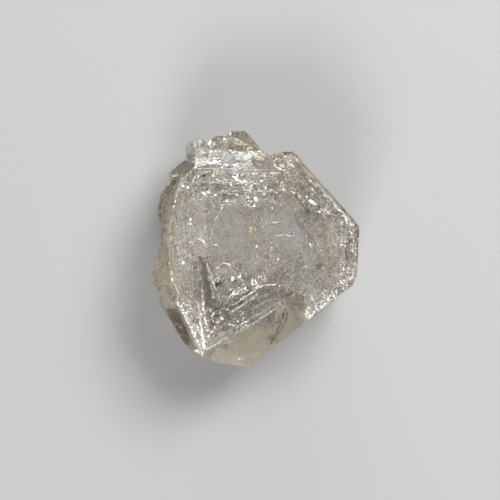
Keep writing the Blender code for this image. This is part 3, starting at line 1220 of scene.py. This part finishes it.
# Streaks of the mirror flakes with painted dark reflection.
PAINTED_DARK_REFLECTION_STREAKS = (
    Streak(((-4.7, -13.0), (0.6, -9.5)), 0.3, 40, (0.08, 0.16), 5),
    Streak(((-6.0, -11.3), (-1.6, -8.8)), 0.3, 30, (0.08, 0.16), 5),
    Streak(((-11.9, -3.4), (-11.3, -7.0), (-10.7, -11.0)), 0.4, 24, (0.08, 0.16), 5),
    Streak(((-10.5, -2.4), (-10.0, -6.0), (-8.9, -10.0)), 0.4, 24, (0.08, 0.16), 5),
    Streak(((-15.5, -14.6), (-13.9, -17.8), (-12.5, -20.8)), 0.2, 26, (0.07, 0.14), 6, (0.1, 0.2)),
    Streak(((-9.6, -20.8), (-4.4, -17.4), (1.6, -14.1)), 0.4, 22, (0.08, 0.16), 5),
    Streak(((10.8, 13.5), (10.4, 11.5), (10.8, 9.1), (11.9, 7.5)), 0.3, 34, (0.08, 0.16), 5),
    Streak(((12.0, 12.2), (11.6, 10.4), (12.2, 8.4)), 0.3, 26, (0.08, 0.16), 5),
    Streak(((-13.0, 20.6), (-7.0, 20.5), (-3.0, 19.4)), 0.4, 40, (0.07, 0.16), 6),
    Streak(((-12.6, 18.5), (-8.0, 18.3)), 0.3, 30, (0.07, 0.15), 6),
    Streak(((-6.0, 19.6), (-1.2, 19.2)), 0.4, 24, (0.07, 0.15), 6),
)
BRIGHT_SPECKS = tuple(Speck(place, size, size * 0.7, 30) for *place, size in (
    (-12.0, 14.8, 0.35), (-12.9, 13.9, 0.31), (-8.1, 15.3, 0.22), (-6.3, 14.9, 0.22), (-5.4, 14.6, 0.18),
    (-4.5, 15.4, 0.18), (15.1, 4.7, 0.33), (18.2, 3.8, 0.28), (-5.0, -0.6, 0.26), (1.8, 6.0, 0.18),
    (-8.1, -11.0, 0.37), (-2.0, -23.8, 0.34), (1.2, -6.9, 0.5), (-1.0, 10.4, 0.39), (-1.7, 10.8, 0.28),
    (-0.4, 9.7, 0.28), (-9.7, -18.3, 0.35), (0.7, 13.5, 0.33), (14.3, 10.8, 0.26), (15.6, 11.0, 0.22),
    (16.7, 10.2, 0.2), (-4.3, 18.1, 0.39), (3.1, 6.0, 0.15), (-3.0, -7.4, 0.22), (4.0, -2.8, 0.18),
    (-13.4, -8.4, 0.3), (-16.9, -6.6, 0.26), (9.7, 8.7, 0.16), (5.1, 9.3, 0.16), (3.8, 8.4, 0.14),
    (11.0, 5.6, 0.2), (18.6, -2.0, 0.14),
))
DARK_SPECKS = (
    Speck((-10.6, 16.4), 0.8, 0.32, 45), Speck((-10.9, 16.1), 0.4, 0.3, 20), Speck((-7.6, -7.4), 0.7, 0.45, 45),
    Speck((-8.0, -7.7), 0.5, 0.35, 60), Speck((-8.2, -13.0), 0.45, 0.26, 20),
    Speck((-14.2, -0.8), 0.31, 0.14), Speck((-13.3, -1.1), 0.26, 0.14, -30), Speck((-16.5, -6.0), 0.2, 0.18),
    Speck((9.2, 11.9), 0.26, 0.22), Speck((6.7, 20.8), 0.5, 0.26, 10), Speck((10.1, -0.9), 0.24, 0.18),
    Speck((10.5, -1.8), 0.28, 0.18, 30), Speck((11.0, -0.4), 0.22, 0.18), Speck((14.1, 9.4), 0.3, 0.22),
    Speck((0.0, 18.5), 0.35, 0.12, -60), Speck((-4.8, -19.4), 0.22, 0.18), Speck((1.8, -12.2), 0.14, 0.11),
    Speck((12.8, -5.0), 0.18, 0.13), Speck((18.5, -0.6), 0.2, 0.14), Speck((-1.2, -20.1), 0.24, 0.17, 20),
    Speck((-3.0, -23.1), 0.14, 0.12), Speck((-0.2, -18.1), 0.22, 0.16), Speck((10.1, -15.9), 0.2, 0.14),
    Speck((7.4, 15.6), 0.5, 0.12, -75), Speck((12.2, 14.6), 0.3, 0.14, 40), Speck((14.6, 12.0), 0.3, 0.16, 60),
)
MILKY = (
    Zone((-12.4, 21.5), (3.2, 2.8), 0, (0.02, 1.6), 4200, (0.07, 0.2), 24, -0.7),
    Zone((-3.5, 23.5), (4.5, 3.0), 0, (0.15, 2), 1300, (0.06, 0.14), 24, -0.1),
    Zone((-7, 19.4), (6.2, 2.0), 0, (0.15, 2.5), 500, (0.05, 0.16), 24, -0.15),
    Zone((-6.5, 13.8), (10.5, 3.6), 0, (0.2, 3), 2300, (0.05, 0.16), 24, -0.2),
    Zone((-14.0, 2.5), (4.2, 8.0), 0, (0.2, 3), 2800, (0.05, 0.17), 24, -0.25),
    Zone((-3, -5), (7, 4.2), 8, (0.2, 3), 2100, (0.05, 0.15), 24, -0.1),
    Zone((15.6, -9.6), (9.4, 4.6), 38, (0.15, 3), 2900, (0.05, 0.16), 24, -0.25),
    Zone((20, -1.2), (2.6, 8.6), 0, (0.15, 3), 1000, (0.05, 0.14), 24, -0.1),
    Zone((-12.0, -15.0), (7.0, 2.6), 117, (0.15, 3), 700, (0.05, 0.14), 24, -0.1),
    Zone((-5.6, -13.7), (5.5, 4), 10, (0.15, 3), 500, (0.05, 0.14), 24, 0.0),
)
HAZE = (
    Zone((-1, 1), (21, 20), 0, (0.25, 4), 38000, (0.09, 0.19), 24, -0.5, 0.25, 1.6),
    Zone((-1, 3), (11, 9), 0, (0.3, 3), 9500, (0.08, 0.17), 24, -0.6, 0.25, 1.6),
)
DEEP_HAZE = (
    Zone((0, 0), (22, 23), 0, (5, 24), 14000, (0.1, 0.24), 60, -0.05, 0.3, 2),
)
CREAMY = (
    Zone((-0.6, -21.4), (12.5, 4.4), 30, (0.2, 5), 24000, (0.1, 0.2), 24, -0.5, 0.25, 1.6),
    Zone((8.8, -14.8), (4.6, 4.2), 0, (0.2, 5), 5500, (0.1, 0.2), 24, -0.6, 0.25, 1.6),
    Zone((7.5, 17.6), (6.0, 3.8), -20, (0.3, 3), 900, (0.07, 0.15), 24, -0.5, 0.3, 1.6),
    Zone((-20, -6.5), (3.4, 7.0), 0, (0.3, 5), 3600, (0.05, 0.13), 24, -0.5, 0.25, 1.6),
    Zone((-19.6, 8), (2.6, 8.0), 0, (0.3, 5), 3200, (0.07, 0.16), 24, -0.3, 0.25, 1.6),
    Zone((-3.5, 23.5), (5.0, 3.0), 0, (0.3, 5), 500, (0.05, 0.12), 24, -0.3, 0.3, 1.6),
    Zone((-12.8, 22.2), (2.9, 2.5), 0, (0.1, 0.4), 1400, (0.09, 0.2), 40, 0.0, 0.5, 1.6),
)
OLIVE_ZONES = (
    Zone((-16.6, -16.8), (4.4, 1.7), 118, (0.05, 1.5), 1300, (0.08, 0.2), 40, -0.6, 0.5),
    Zone((-19.7, 9.1), (1.9, 7.0), 0, (0.1, 2.5), 420, (0.06, 0.16), 60, -0.1, 0.6),
    Zone((-21, -5), (2.4, 5), 0, (0.2, 3), 260, (0.05, 0.14), 60, -0.1, 0.6),
    Veil(((-17.5, 16.3), (-15.6, 16.0), (-17.0, 12.2), (-17.4, 9.7), (-19.2, 9.7), (-18.4, 12.5)), 320, (0.1, 0.8)),
    Zone((3.4, -15.4), (4.4, 1.6), 32, (0.1, 1.2), 800, (0.06, 0.15), 50, -0.15, 0.6),
    Zone((8.6, -11.2), (2.4, 2.0), 0, (0.2, 1.5), 260, (0.05, 0.14), 50, -0.2, 0.6),
    Zone((13.0, 9.2), (2.4, 1.6), 0, (0.3, 2), 160, (0.05, 0.13), 50, -0.2, 0.6),
    Zone((-6.3, -21.2), (0.9, 0.6), 0, (0.1, 0.5), 150, (0.06, 0.14), 40, -0.2, 0.6),
    Zone((-2.0, -20.5), (8.5, 3.2), 32, (0.1, 0.6), 320, (0.05, 0.11), 50, 0.1, 0.6, 2, True),
    Veil(((6.9, -13.2), (6.4, -15.6), (3.5, -21.1), (5.4, -16.2)), 300, (0.08, 0.5), (0.06, 0.13)),
    Streak(((3.8, -20.6), (5.3, -17.6), (6.0, -15.6), (6.5, -14.0)), 0.2, 46, (0.07, 0.14), 5, (0.08, 0.25)),
    Streak(((3.9, -20.5), (5.9, -17.7), (7.0, -15.5), (7.3, -13.8)), 0.25, 60, (0.07, 0.15), 5, (0.08, 0.25)),
    Veil(((7.0, -9.2), (10.6, -9.8), (12.3, -12.4), (9.6, -13.4), (7.2, -13.0)), 170, (0.1, 0.8), (0.05, 0.12)),
    Zone((-8.9, -22.1), (0.5, 0.4), 0, (0.15, 0.8), 24, (0.06, 0.12), 40, -1, 0.6),
)
OCHRE_ZONES = (
    Zone((-16.6, -17.0), (4.4, 1.6), 118, (0.04, 0.6), 1100, (0.08, 0.22), 30, -0.4, 0.4),
    Zone((-13.9, -20.6), (2.4, 0.9), 122, (0.1, 1.0), 90, (0.06, 0.16), 40, -0.2, 0.5),
    Zone((-20.4, 6.0), (1.2, 4.0), 0, (0.2, 2), 90, (0.05, 0.13), 50, 0.0, 0.5),
    Zone((4.8, 19.8), (3.0, 1.0), 10, (0.2, 1.5), 90, (0.05, 0.12), 50, 0.0, 0.5),
    Zone((-0.6, 4.0), (1.6, 3.2), 0, (0.15, 1.2), 130, (0.05, 0.12), 50, -0.1, 0.5),
)
# Zones of the mirror flakes with painted dark reflection.
PAINTED_DARK_REFLECTION_ZONES = (
    Zone((-10.4, -8.5), (7.5, 1.1), 98, (0.3, 3), 260, (0.12, 0.4), 20, -0.1),
    Zone((-6.5, 13.6), (10, 3.4), 0, (0.4, 4), 170, (0.1, 0.36), 24, 0.0),
    Zone((13, 10.2), (5, 3), -40, (0.4, 4), 170, (0.1, 0.34), 24, 0.0),
    Zone((-3, -5.6), (7, 4.2), 8, (0.4, 4), 330, (0.1, 0.34), 24, 0.0),
    Zone((-5.6, -13.7), (6, 4.6), 10, (0.3, 4), 420, (0.1, 0.34), 24, -0.05),
    Zone((-12.0, -14.6), (7.5, 2.8), 117, (0.3, 4), 420, (0.08, 0.3), 24, -0.05),
    Zone((-12.4, 21.5), (3.0, 2.4), 0, (0.05, 1.2), 160, (0.08, 0.26), 24, -0.2),
    Zone((-3.5, 23.3), (4.4, 2.8), 0, (0.3, 2), 70, (0.06, 0.16), 24, -0.1),
    Zone((-19.4, 8), (2.2, 7.5), 0, (0.1, 2.5), 90, (0.08, 0.3), 30, -0.1, 0.12, 5),
    Zone((18.5, -2), (4, 10), 0, (0.3, 4), 120, (0.06, 0.2), 26, 0.0),
    Zone((15.6, -10), (9, 4.4), 38, (0.3, 4), 480, (0.06, 0.22), 26, -0.05),
    Zone((7.5, 16.6), (6.5, 4.2), -20, (0.3, 3), 300, (0.06, 0.24), 26, -0.05),
)

LEFT_WINDOW = ((-9.5, 0.9), (-9.0, 4.7), (-7.9, 7.4), (-6.3, 9.6), (-3.6, 10.4), (-2.5, 6.8), (-2.0, 0.7),
               (-4.7, -0.7), (-9.5, -1.7))
RIGHT_WINDOW = ((1.4, 6.8), (5.8, 8.0), (8.6, 6.8), (11.3, 3.4), (12.3, 0.7), (14.0, -1.7), (12.0, -2.7), (8.9, -2.4),
                (6.9, 0.4), (2.1, 2.7))
RIM_STRIP = ((-17.4, -11.1), (-15.6, -12.2), (-13.7, -15.5), (-11.8, -20.4), (-12.4, -21.6), (-12.9, -21.2),
             (-15.9, -14.4))
EAST_PANEL = ((11.6, 4.8), (17.1, 4.8), (18.1, -4.1), (14.0, -2.7), (12.3, 1.4))
NORTH_EAST_RIM = ((1.4, 17.7), (3.4, 20.5), (8.9, 20.8), (15.4, 14.0), (10.3, 12.3), (5.2, 15.4))
BAND = ((-12.9, 21.8), (-6.8, 22.2), (-1.0, 21.0), (-1.0, 18.4), (-3.7, 17.4), (-7.5, 18.1), (-12.9, 17.6))
BLUISH_VEILS = (
    Veil(LEFT_WINDOW, 3000),
    Veil(RIGHT_WINDOW, 3200),
    Veil(((-3.0, -0.8), (0.8, -0.6), (0.6, -4.4), (-2.6, -4.8)), 500),
)
BEIGE_VEILS = (
    Veil(EAST_PANEL, 1900),
    Veil(((5.8, 15.0), (10.3, 16.4), (13.7, 12.3), (10.3, 8.9), (8.9, 6.5), (6.2, 8.2), (5.2, 11.6)), 2300),
    Veil(NORTH_EAST_RIM, 2400, spread=40),
    Veil(((-2.4, 6.5), (0.7, 6.5), (1.4, 0.7), (-2.0, 1.4)), 380),
    Veil(((-17.4, -6.1), (-12.8, -7.5), (-12.2, -11.5), (-17.0, -11.6)), 800),
    Zone((3, -5), (5, 3), 20, (0.2, 1.5), 700, (0.07, 0.15), 24, -0.2, 0.25, 1.6),
)
# Where the painted shade goes: the clear strip, the knob and the panels and rims that are to look darker.
PAINTED_SHADE_VEILS = (
    Zone((-3.2, 23.6), (5.4, 2.6), -8, (0.08, 1.2), 1900, (0.07, 0.17), 30, -0.3, 0.4, 1.6),
    Veil(((-12.4, 22.0), (-7.0, 24.4), (-5.6, 23.0), (-8.0, 22.0)), 500, (0.1, 0.6)),
    Veil(((-1.6, 23.2), (1.2, 20.2), (0.6, 18.4), (-0.8, 19.0), (-2.4, 21.8)), 300, (0.1, 0.6)),
    Veil(CLEAR_STRIP, 1900, (0.5, 2.5)),
    Veil(((-7.5, -10.9), (0.7, -8.9), (6.9, -8.2), (6.2, -11.9), (-3.4, -17.0), (-6.8, -16.4)), 1300, (0.3, 1.5)),
    Veil(EAST_PANEL, 620),
    Veil(((18.4, 4.5), (21.9, 4.5), (21.9, -5.0), (18.6, -4.5)), 260),
    Veil(BAND, 300, (0.1, 0.5), (0.05, 0.1), long=6, along=0),
    Veil(((-21.2, 10.5), (-18.6, 14.7), (-14.8, 17.9), (-13.2, 21.2), (-12.9, 19.3), (-15.6, 15.8), (-17.0, 11.9),
          (-18.6, 5.3), (-20.3, 5.9)), 520, (0.12, 0.8)),
    Veil(((-15.6, -3.4), (-12.6, -2.4), (-11.6, -11.6), (-16.6, -11.0)), 380, (0.15, 0.8)),
    Veil(NORTH_EAST_RIM, 1600, (0.12, 0.6)),
    Veil(((6.0, -8.5), (9.0, -9.0), (11.2, -11.7), (11.8, -13.9), (8.5, -13.7), (6.0, -11.7)), 800, (0.12, 0.7)),
    Veil(((-9.0, -21.4), (-2.0, -17.6), (0.0, -17.4), (-1.5, -19.4), (-6.5, -21.4)), 220),
    Veil(((-8.0, -12.0), (-2.0, -11.0), (-1.0, -15.0), (-8.4, -19.6)), 520),
    Veil(((9.5, -7.5), (19.0, -1.5), (20.8, -6.2), (12.0, -13.6)), 220, (0.15, 1.5)),
)
WHITE_VEILS = (
    Veil(((-8.0, 9.4), (-6.0, 11.0), (-1.5, 11.2), (-3.0, 9.8), (-6.6, 9.0)), 260),
    Veil(((-13.5, 11.5), (-7.5, 12.0), (-6.8, 9.8), (-8.4, 7.4), (-9.5, 4.5), (-12.8, 6.5)), 620),
    Veil(RIM_STRIP, 3200, (0.08, 0.35), (0.08, 0.16)),
    Veil(BAND, 520, (0.1, 0.8), (0.06, 0.12), long=4, along=0),
    Veil(((-12.6, 5.5), (-9.9, 5.8), (-10.0, -1.0), (-12.6, -1.7)), 900),
    Veil(((-17.0, 5.6), (-13.0, 5.6), (-13.2, 0.4), (-17.4, 0.6)), 420),
    Veil(((-7.0, -1.4), (0.8, -1.2), (1.2, -4.6), (-6.6, -5.2)), 260),
    Zone((-12.9, 22.0), (2.9, 2.5), 0, (0.1, 0.35), 1500, (0.1, 0.24), 50, 0.0, 0.5, 1.6),
    Veil(((-5.5, -21.7), (-1.0, -19.8), (3.4, -17.4), (3.6, -20.4), (0.2, -24.2), (-2.0, -25.4), (-5.5, -24.8)),
         1000),
    Veil(((9.4, 19.0), (10.4, 19.8), (21.4, 8.6), (20.4, 6.6)), 520),
)
CREAM_VEILS = (
    Veil(((7.3, -12.8), (10.3, -13.4), (11.3, -16.4), (8.3, -18.9), (5.4, -20.4), (7.0, -16.9), (7.6, -14.8)), 1500,
         size=(0.08, 0.16)),
    Veil(((-9.5, -22.8), (-2.7, -18.7), (3.4, -16.0), (2.1, -22.8), (-2.0, -25.6), (-6.8, -25.2)), 2600),
)
FLASHING_VEILS = (
    Veil(((-15.3, 21.4), (-14.6, 23.8), (-12.6, 24.4), (-10.6, 23.6), (-10.6, 20.8), (-13.4, 20.4)), 240, (0.1, 0.3),
         (0.09, 0.2), True, 20, 0.5, 2),
    Veil(((-2.9, -25.4), (-0.9, -24.4), (-0.6, -25.2), (-2.2, -26.0)), 16, (0.1, 0.3), (0.07, 0.16),
         True, 14, 0.3, 2),
    Veil(RIM_STRIP, 950, (0.08, 0.3), (0.08, 0.18), True, 12, 0.2, 4, 120),
    Veil(BAND, 70, (0.1, 0.3), (0.06, 0.12), True, 14, 0.2, 6, 0),
)


@dataclass
class Inclusions:
    """What is sealed in the crystal: cavities, healed cracks, haze, grains and stains, and dark flakes with painted
    shade and painted dark reflections.
    """

    inside: Inside
    crack_count: int = 60
    crack_seed: int = 5
    crack_cavities: int = 260

    def cloud(self, name: str, finish: FlakeFinish, seed: int, groups: tuple, grain: Grain = Grain.FLAKE) -> None:
        """Makes one mesh of flakes.

        Args:
            name: the piece's name.
            finish: the flakes' finish.
            seed: picks their places.
            groups: the zones, veils, streaks, specks or cracks that hold them.
            grain: their shape.
        """
        cloud = Cloud(name, finish, self.inside, seed, grain)
        for group in groups:
            group.fill(cloud)
        cloud.build()

    def cracks(self) -> tuple[HealedCrack, ...]:
        """Places healed cracks all round the middle, which is clearer.

        Returns:
            The cracks.
        """
        rng = np.random.default_rng(self.crack_seed)
        cracks = []
        for _ in range(self.crack_count):
            angle, far = rng.uniform(0, 2 * math.pi), rng.uniform(12, 20)
            cracks.append(HealedCrack(
                (far * math.cos(angle), far * math.sin(angle)), rng.uniform(1, 18), rng.uniform(0, 360),
                rng.uniform(30, 85), (rng.uniform(1.5, 4), rng.uniform(1, 2.5)), rng.uniform(0, 360),
                rng.uniform(-0.8, 0.8), self.crack_cavities))
        return tuple(cracks)

    def build(self) -> None:
        """Makes every mesh."""
        self.cloud("sparkling_cavities", MIRROR, 11, SPARKLING + BRIGHT_SPECKS + FLASHING_VEILS)
        self.cloud("bright_streaks", MIRROR, 14, BRIGHT_STREAKS)
        self.cloud("milky_flakes", MILK, 12, MILKY + WHITE_VEILS, Grain.SPLINTER)
        self.cloud("milky_haze", MILK, 15, HAZE, Grain.SPLINTER)
        self.cloud("deep_haze", MILK, 21, DEEP_HAZE, Grain.SPLINTER)
        self.cloud("creamy_haze", CREAM, 16, CREAMY + CREAM_VEILS, Grain.SPLINTER)
        self.cloud("bluish_haze", BLUISH, 22, BLUISH_VEILS, Grain.SPLINTER)
        self.cloud("beige_haze", BEIGE, 23, BEIGE_VEILS, Grain.SPLINTER)
        # Dark flakes of painted shade.
        self.cloud("painted_shade_haze", PAINTED_SHADE_FINISH, 24, PAINTED_SHADE_VEILS, Grain.SPLINTER)
        self.cloud("healed_cracks", MIRROR, 13, self.cracks())
        # Mirror flakes with painted dark reflection.
        self.cloud("cavities_painted_dark_reflection", PAINTED_DARK_REFLECTION_FINISH, 17, PAINTED_DARK_REFLECTION_ZONES + PAINTED_DARK_REFLECTION_STREAKS)
        self.cloud("olive_clay", OLIVE, 18, OLIVE_ZONES)
        self.cloud("iron_stains", OCHRE, 19, OCHRE_ZONES)
        self.cloud("dark_specks", DARK, 20, DARK_SPECKS)


@dataclass(frozen=True)
class Softbox:
    """A soft rectangular light that looks at the crystal.

    It hangs towards an azimuth, in degrees from +X towards +Y, and an elevation above the floor.
    """

    name: str
    azimuth: float
    elevation: float
    sides: tuple[float, float]
    watts: float
    away: float = 0.8
    aim: Point3 = (0, 0, 15 * MM)

    def hang(self) -> None:
        """Makes the light and turns it to the crystal."""
        light = bpy.data.lights.new(self.name, "AREA")
        light.shape = "RECTANGLE"
        light.size, light.size_y = self.sides
        light.energy = self.watts
        lamp = bpy.data.objects.new(self.name, light)
        towards = unit_towards(self.azimuth, self.elevation)
        lamp.location = Vector(self.aim) + towards * self.away
        lamp.rotation_euler = towards.to_track_quat("Z", "Y").to_euler()
        bpy.context.scene.collection.objects.link(lamp)


@dataclass
class Studio:
    """The pale floor, the soft lights and the camera.

    The crystal is crystal_mm long, which is crystal_pixels of the picture at measured_height.
    """

    camera_height: float = 1.0
    near_clip: float = 10 * MM
    picture_side: float = 500
    crystal_mm: float = 52
    crystal_pixels: float = 237.2
    middle_pixel: tuple[float, float] = (253.75, 249.4)
    measured_height: float = 20 * MM
    softboxes: tuple[Softbox, ...] = (
        Softbox("key", KEY_AZIMUTH, KEY_ELEVATION, (0.4, 0.4), 7.5),
        Softbox("rim", 95, 18, (0.5, 0.16), 1.9),
        Softbox("fill", 262, 42, (0.3, 0.3), 4.2),
    )
    world_level: float = 0.27
    floor_side: float = 6
    floor_gap: float = 0.05 * MM
    bounces: int = 20
    glossy_bounces: int = 10

    def floor(self) -> None:
        """Makes the floor."""
        bpy.ops.mesh.primitive_plane_add(size=self.floor_side, location=(0, 0, -self.floor_gap))
        floor = bpy.context.object
        floor.name = "pale_floor"
        floor.data.materials.append(FloorFinish().material())

    def lights(self) -> None:
        """Hangs the lights and sets the dim surroundings."""
        for softbox in self.softboxes:
            softbox.hang()
        world = bpy.data.worlds.new("surroundings")
        bpy.context.scene.world = world
        world.use_nodes = True
        sky = world.node_tree.nodes["Background"]
        sky.inputs["Color"].default_value = (1, 1, 1, 1)
        sky.inputs["Strength"].default_value = self.world_level

    def camera(self) -> None:
        """Sets the camera straight above, with the outline where it belongs in the frame."""
        metres_per_pixel = self.crystal_mm / self.crystal_pixels * MM
        lens = bpy.data.cameras.new("camera")
        lens.lens = lens.sensor_width * self.camera_height / (self.picture_side * metres_per_pixel)
        lens.clip_start = self.near_clip
        made = bpy.data.objects.new("camera", lens)
        half = self.picture_side / 2
        x = (half - self.middle_pixel[0]) * metres_per_pixel
        y = (self.middle_pixel[1] - half) * metres_per_pixel
        made.location = (x, y, self.measured_height + self.camera_height)
        bpy.context.scene.collection.objects.link(made)
        bpy.context.scene.camera = made

    def light_paths(self) -> None:
        """Lets light cross as many faces as the crystal has on its way through, and shows it as it falls."""
        cycles = bpy.context.scene.cycles
        cycles.max_bounces = cycles.transmission_bounces = self.bounces
        cycles.glossy_bounces = self.glossy_bounces
        cycles.transparent_max_bounces = self.bounces
        bpy.context.scene.view_settings.view_transform = "Standard"


def main() -> None:
    """Builds everything in order."""
    logging.basicConfig(level=logging.INFO, format="%(name)s: %(message)s")
    skin = Skin().build()
    Inclusions(Inside(skin)).build()
    studio = Studio()
    studio.floor()
    studio.lights()
    studio.camera()
    studio.light_paths()


if __name__ == "__main__":
    main()
